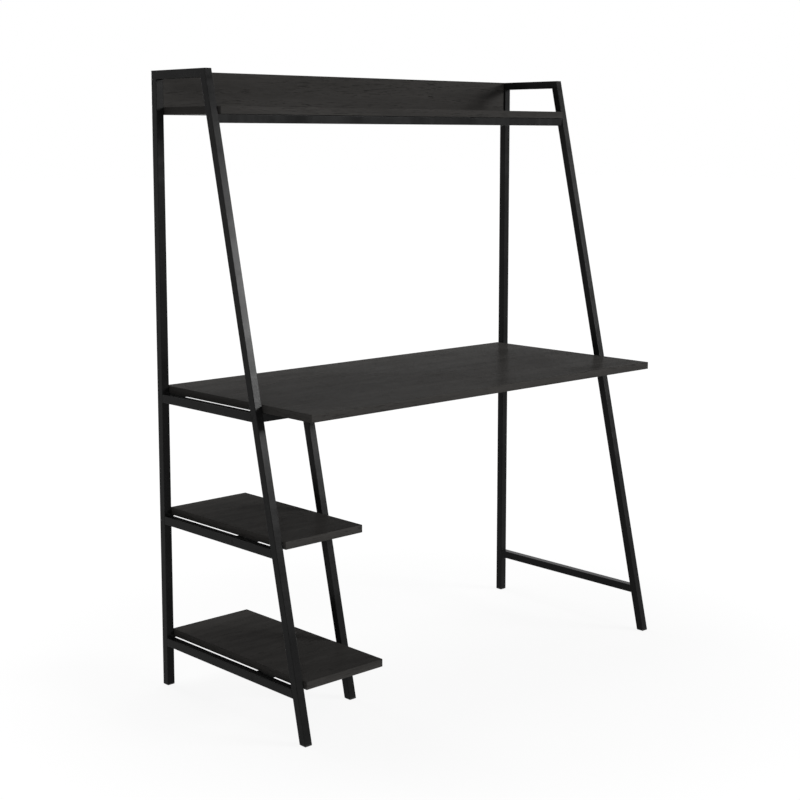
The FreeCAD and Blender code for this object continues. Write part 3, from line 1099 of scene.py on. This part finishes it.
@dataclass
class InnerFrame:
    """The third leaning leg, its screw plate, and the crossbars that tie the frames together.

    Attributes:
        crossbars: the crossbars' names, without the word crossbar.
        coat: the finish of leg, plate and crossbars.
        bead: the weld between leg and plate.
        corner: radius of the leg's edges.
        corner_steps: points on each corner of the bead's loop.
    """

    crossbars: tuple[str, ...] = ("desk_front", "desk_rear", "hutch", "middle_shelf", "lower_shelf")
    coat: PowderCoat = PowderCoat()
    bead: WeldBead = WeldBead()
    corner: float = 1.5 * MM
    corner_steps: int = 6

    def build(self) -> None:
        """Coats the leg, the plate and the crossbars, and lays the bead under the plate."""
        leg = Bar("inner_leg", Along.LEANING)
        leg.dress(self.coat)
        for name in self.crossbars:
            Bar(f"{name}_crossbar", Along.WIDTH).dress(self.coat)
        dress("inner_leg_plate", self.coat.build("inner_leg_plate_coat"))
        coat = self.coat.build("plate_weld_coat")
        self.bead.lay("inner_leg_plate_weld_bead", [self.plate_bead(leg)], coat)

    def plate_bead(self, leg: Bar) -> Surface:
        """Bead round the top of the leg: its level section's loop, with the leg's own way down.

        Args:
            leg: the inner leg.

        Returns:
            The bead.
        """
        (low, high), half = box_of(leg.node), leg.side() / 2
        half_depth = half / math.cos(LEAN)
        loop, outward = rounded_rectangle(half, half_depth, self.corner, self.corner_steps)
        loop, outward = (np.concatenate([values, values[:1]]) for values in (loop, outward))
        centre = np.array([(low[0] + high[0]) / 2, high[1] - half_depth, high[2]])
        flat = np.zeros((len(loop), 1))
        base, out = (np.concatenate([values, flat], axis=1) for values in (loop, outward))
        return self.bead.along(base + centre, out, -UP_THE_LEG)


@dataclass
class ShelfTabs:
    """Small plates, welded to the left frame, that carry the left edges of the low shelves.

    Attributes:
        shelves: the shelves' nodes, which the tabs' names begin with.
        coat: the tabs' finish.
        bead: the weld under the edge of each.
        margin: what a bead keeps off each end of that edge.
    """

    shelves: tuple[str, ...] = ("middle_shelf", "lower_shelf")
    coat: PowderCoat = PowderCoat()
    bead: WeldBead = WeldBead(size=1.2 * MM)
    margin: float = 1.0 * MM

    def build(self) -> None:
        """Coats the tabs and lays a bead under the welded edge of each."""
        beads = []
        for node in [f"{shelf}_{end}_tab" for shelf in self.shelves for end in ("front", "rear")]:
            dress(node, self.coat.build(node + "_coat"))
            low, high = box_of(node)
            ends = [(low[0], low[1] + self.margin, low[2]), (low[0], high[1] - self.margin, low[2])]
            beads.append(self.bead.along(line(*ends), (1, 0, 0), (0, 0, -1)))
        self.bead.lay("tab_weld_beads", beads, self.coat.build("tab_weld_coat"))


# ---- Boards ------------------------------------------------------------------------------------
class Facing(Enum):
    """Which way a board's face looks. The rows are the images of its length, width and thickness."""

    UP = ((1.0, 0.0, 0.0), (0.0, 1.0, 0.0), (0.0, 0.0, 1.0))
    FORWARD = ((1.0, 0.0, 0.0), (0.0, 0.0, 1.0), (0.0, -1.0, 0.0))


@dataclass
class Board:
    """A laminated board, with its grain along the desk's width, and the band round its edge.

    Attributes:
        node: the CAD board, which gives the sizes and is replaced.
        facing: which way the face looks.
        laminate: finish of the panel.
        edging: finish of the band.
        band: the band's thickness.
        arris: radius of the band's outer edges.
        groove: easing of the edges that meet between panel and band.
        corner: radius of the board's corners.
        corner_steps: points on a corner.
        arris_steps: points on an arris.
        smooth_below: angle in degrees below which faces are shaded as one.
    """

    node: str
    facing: Facing = Facing.UP
    laminate: OakLaminate = OakLaminate()
    edging: OakLaminate = OakLaminate(emboss=0.05 * MM)
    band: float = 1.0 * MM
    arris: float = 0.8 * MM
    groove: float = 0.15 * MM
    corner: float = 1.4 * MM
    corner_steps: int = 6
    arris_steps: int = 5
    smooth_below: float = 30.0

    def build(self) -> None:
        """Makes the panel and its band, which stand for the CAD board."""
        low, high = box_of(self.node)
        axes, middle = np.array(self.facing.value), (low + high) / 2
        halves = np.abs(axes @ (high - low)) / 2
        # Each band's pattern starts elsewhere, so that no two boards have the same edge.
        start = float(abs(middle).sum())
        face = self.laminate.build(self.node + "_laminate", Placement(tuple(middle)))
        edge = self.edging.build(self.node + "_edging", Flattened(start))
        parts = (("panel", self.panel(*halves), face), ("edge_band", self.edge_band(*halves), edge))
        for name, surface, material in parts:
            surface = surface.turned(axes, middle)
            piece = made_object(f"{self.node}_{name}", surface, material, self.smooth_below)
            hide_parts(self.node)

    def panel(self, half_x: float, half_y: float, half_z: float) -> Surface:
        """Board without its band: four rings of a rounded rectangle, the outer two eased by the groove.

        Args:
            half_x: half the board's length.
            half_y: half its width.
            half_z: half its thickness.

        Returns:
            The closed panel.
        """
        loop, outward = rounded_rectangle(
            half_x - self.band, half_y - self.band, self.corner - self.band, self.corner_steps
        )
        eased = np.array([self.groove, 0.0, 0.0, self.groove])
        level = np.array([-half_z, self.groove - half_z, half_z - self.groove, half_z])
        return lofted(at_heights(loop[None] - eased[:, None, None] * outward[None], level))

    def edge_band(self, half_x: float, half_y: float, half_z: float) -> Surface:
        """Band round the panel: its section is carried round the rounded rectangle.

        The section is a strip of the band's thickness whose outer corners are quarter circles of
        the arris radius, and whose inner corners are eased by the groove.

        Args:
            half_x: half the board's length.
            half_y: half its width.
            half_z: half its thickness.

        Returns:
            The closed ring.
        """
        loop, outward = rounded_rectangle(half_x, half_y, self.corner, self.corner_steps)
        a = np.radians(np.linspace(0, 90, self.arris_steps))
        inset, z = self.arris * (1 - np.cos(a)), half_z - self.arris * (1 - np.sin(a))
        eased, side = self.band - self.groove, half_z - self.groove
        depth = np.concatenate([[self.band, self.band, eased], inset[::-1], inset, [eased]])
        level = np.concatenate([[-side, side, half_z], z[::-1], -z, [-half_z]])
        return lofted(at_heights(loop[None] - depth[:, None, None] * outward[None], level), hollow=True)


# ---- Plastic and fasteners ---------------------------------------------------------------------
@dataclass
class HolePlugs:
    """Plastic plugs that close the holes through which the bolts go in.

    Attributes:
        node: the CAD plugs, which give the sizes and are replaced.
        plastic: their finish.
        dish: how far the face sinks at its middle.
        rim: width of the flat round the dish.
        arris: easing of the edges.
        around: points of a ring.
        dish_steps: rings of the dish.
        last_ring: radius of the innermost ring, as a share of the dish's.
        reach: more than a plug's size and less than the distance between two.
        smooth_below: angle in degrees below which faces are shaded as one.
    """

    node: str = "bolt_hole_plugs"
    plastic: MouldedPlastic = MouldedPlastic()
    dish: float = 0.35 * MM
    rim: float = 0.7 * MM
    arris: float = 0.3 * MM
    around: int = 48
    dish_steps: int = 6
    last_ring: float = 0.15
    reach: float = 15 * MM
    smooth_below: float = 40.0

    def build(self) -> None:
        """Makes one plug for each of the CAD ones."""
        plugs = []
        for low, high in parts_of(self.node, self.reach):
            middle = (low + high) / 2
            outside = 1.0 if self.opens_right(middle[0]) else -1.0
            length, radius = high[0] - low[0], (high[1] - low[1]) / 2
            axes = np.array([(0.0, 1.0, 0.0), (0.0, 0.0, outside), (outside, 0.0, 0.0)])
            start = middle - axes[2] * length / 2
            plugs.append(self.plug(radius, length).turned(axes, start))
        plastic = self.plastic.build("hole_plug_plastic")
        piece = made_object("dished_hole_plugs", joined(plugs), plastic, self.smooth_below)
        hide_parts(self.node)

    @staticmethod
    def opens_right(x: float) -> bool:
        """Returns True if the plug's outer face looks to the right: on the right leg and the inner one."""
        return x > box_of("left_rear_leg")[1, 0]

    def plug(self, radius: float, length: float) -> Surface:
        """Solid of revolution about the third axis.

        Inside the rim the face sinks by dish (1 - (r / r0) squared), with r0 the rim's inner radius.

        Args:
            radius: the plug's radius.
            length: its length.

        Returns:
            The closed plug, from 0 to length.
        """
        inner, eased = radius - self.rim, radius - self.arris
        face = np.linspace(inner, inner * self.last_ring, self.dish_steps)
        sunk = self.dish * (1 - (face / inner) ** 2)
        r = np.concatenate([[eased, radius, radius, eased], face])
        z = np.concatenate([[0.0, self.arris, length - self.arris, length], length - sunk])
        angles = np.linspace(0, 2 * np.pi, self.around, endpoint=False)
        circle = np.stack([np.cos(angles), np.sin(angles)], axis=-1)
        return lofted(at_heights(r[:, None, None] * circle[None], z))


@dataclass
class Glides:
    """Plastic feet pressed into the legs."""

    legs: tuple[str, ...] = ("left_rear", "left_front", "right_rear", "right_front", "inner")
    plastic: MouldedPlastic = MouldedPlastic(level=0.012, gloss=0.12)

    def build(self) -> None:
        """Dresses the feet."""
        for node in [f"{leg}_glide" for leg in self.legs]:
            placement = Placement(tuple(box_of(node).mean(axis=0)))
            dress(node, self.plastic.build(node + "_plastic", placement))


@dataclass
class Fasteners:
    """Bolts, nuts, inserts and screws, which are mostly out of sight."""

    clear_zinc: PlatedSteel = PlatedSteel(level=0.55, roughness=0.32, warmth=0.02)
    black_zinc: PlatedSteel = PlatedSteel(level=0.07, roughness=0.42)
    clear: tuple[str, ...] = ("crossbar_bolts", "back_board_bolts", "crossbar_end_nuts", "back_board_inserts")
    black: tuple[str, ...] = (
        "desktop_screws",
        "hutch_shelf_screws",
        "low_shelf_screws",
        "inner_leg_plate_screws",
        "back_board_screws",
    )

    def build(self) -> None:
        """Dresses them in clear or black zinc."""
        clear, black = self.clear_zinc.build("clear_zinc"), self.black_zinc.build("black_zinc")
        for nodes, material in ((self.clear, clear), (self.black, black)):
            for node in nodes:
                dress(node, material)


# ---- Studio ------------------------------------------------------------------------------------
@dataclass(frozen=True)
class SoftBox:
    """A rectangular lamp at a place, turned to a target."""

    name: str
    place: Triple
    target: Triple
    size: tuple[float, float]
    watts: float

    def build(self) -> None:
        """Adds the lamp."""
        data = bpy.data.lights.new(self.name, "AREA")
        data.shape = "RECTANGLE"
        data.size, data.size_y = self.size
        data.energy = self.watts
        lamp = added(self.name, data)
        lamp.location = self.place
        lamp.rotation_euler = (Vector(self.target) - Vector(self.place)).to_track_quat("-Z", "Y").to_euler()


def not_for_light(wiring: Wiring) -> Socket:
    """Tells the rays that see white from those that carry light.

    Args:
        wiring: the tree of the world or of the floor.

    Returns:
        1 for rays of the camera, of a reflection or through glass, and 0 for the others.
    """
    path = wiring.add("LightPath").outputs
    seen = wiring.math("MAXIMUM", path["Is Camera Ray"], path["Is Transmission Ray"])
    return wiring.math("MAXIMUM", seen, path["Is Glossy Ray"])


@dataclass
class Studio:
    """Camera, lights, floor and surroundings.

    Attributes:
        camera_place: where the camera stands.
        yaw: how far it is turned to the right of straight ahead, in degrees.
        pitch: how far it looks down, in degrees.
        lens: its focal length, in millimetres.
        shift: its shift upwards, as a share of the picture's width.
        surround: grey of the surroundings as light.
        floor_reach: how far the floor goes on each side.
        paint: grey of the floor's paint, which shows the desk's shadow.
        glow: strength of the white that the floor shows besides its paint.
        near_glow: the share of that white beside the desk.
        shadow_edge: distances from the middle between which that share rises to 1.
        lamps: the soft boxes.
    """

    camera_place: Triple = (-2.6387, -2.7727, 1.3231)
    yaw: float = 42.877
    pitch: float = 7.327
    lens: float = 69.08
    shift: float = -0.08
    surround: float = 0.18
    floor_reach: float = 40.0
    paint: float = 0.8
    glow: float = 1.04
    near_glow: float = 0.86
    shadow_edge: tuple[float, float] = (0.6, 1.7)
    lamps: tuple[SoftBox, ...] = (
        SoftBox("key", place=(7.3, -9.5, 4.0), target=(0.0, 0.0, 0.9), size=(4.4, 2.3), watts=1050.0),
        SoftBox("overhead", place=(0.2, 1.1, 3.8), target=(0.1, 0.0, 0.7), size=(2.4, 2.0), watts=50.0),
        SoftBox("fill", place=(-3.6, -3.0, 2.4), target=(0.0, 0.0, 0.8), size=(1.6, 1.6), watts=45.0),
        SoftBox("back", place=(0.0, 9.0, 2.4), target=(0.0, 0.0, 0.8), size=(3.0, 2.0), watts=260.0),
    )

    def build(self) -> None:
        """Builds the whole studio."""
        self.make_camera()
        self.make_world()
        self.make_floor()
        for lamp in self.lamps:
            lamp.build()
        bpy.context.scene.view_settings.view_transform = "Standard"

    def make_camera(self) -> None:
        """Adds the camera, in front of the desk and to its left, at about the top shelf's height."""
        data = bpy.data.cameras.new("camera")
        data.lens = self.lens
        data.shift_y = self.shift
        camera = added("camera", data)
        camera.location = self.camera_place
        camera.rotation_euler = (math.radians(90 - self.pitch), 0, math.radians(-self.yaw))
        bpy.context.scene.camera = camera

    def make_world(self) -> None:
        """Makes a surround that is white behind the desk and a plain grey as light."""
        world = bpy.data.worlds.new("studio")
        wiring = blank_wiring(world)
        level = wiring.between(not_for_light(wiring), 0.0, 1.0, self.surround, 1.0)
        background = wiring.add("Background", {"Color": grey(1.0), "Strength": level})
        wiring.add("OutputWorld", {"Surface": background.outputs[0]})
        bpy.context.scene.world = world

    def make_floor(self) -> None:
        """Makes a white floor that keeps a faint shadow."""
        reach = self.floor_reach
        corners = [(-reach, -reach, 0), (reach, -reach, 0), (reach, reach, 0), (-reach, reach, 0)]
        mesh = bpy.data.meshes.new("floor")
        mesh.from_pydata(corners, [], [(0, 1, 2, 3)])
        material = bpy.data.materials.new("studio_floor")
        wiring = blank_wiring(material)
        paint = wiring.add("BsdfDiffuse", {"Color": grey(self.paint)})
        glow = wiring.add("Emission", {"Color": grey(1.0), "Strength": self.glow})
        place = wiring.add("TexCoord").outputs["Object"]
        away = wiring.add("VectorMath", {0: place}, operation="LENGTH").outputs["Value"]
        glowing = wiring.between(away, *self.shadow_edge, self.near_glow, 1.0)
        share = wiring.times(not_for_light(wiring), glowing)
        mixed = wiring.add("MixShader", {0: share, 1: paint.outputs[0], 2: glow.outputs[0]})
        wiring.add("OutputMaterial", {"Surface": mixed.outputs[0]})
        mesh.materials.append(material)
        added("floor", mesh)


def main() -> None:
    """Builds the studio and the desk's sub-assemblies in order."""
    logging.basicConfig(level=logging.INFO, format="%(message)s")
    Studio().build()
    SideFrame("left", ("top", "desk", "middle", "lower")).build()
    SideFrame("right", ("top", "desk", "lower")).build()
    InnerFrame().build()
    ShelfTabs().build()
    for board in ("desktop", "middle_shelf", "lower_shelf", "hutch_shelf"):
        Board(board).build()
    Board("hutch_back_board", Facing.FORWARD).build()
    HolePlugs().build()
    Glides().build()
    Fasteners().build()


if __name__ == "__main__":
    main()
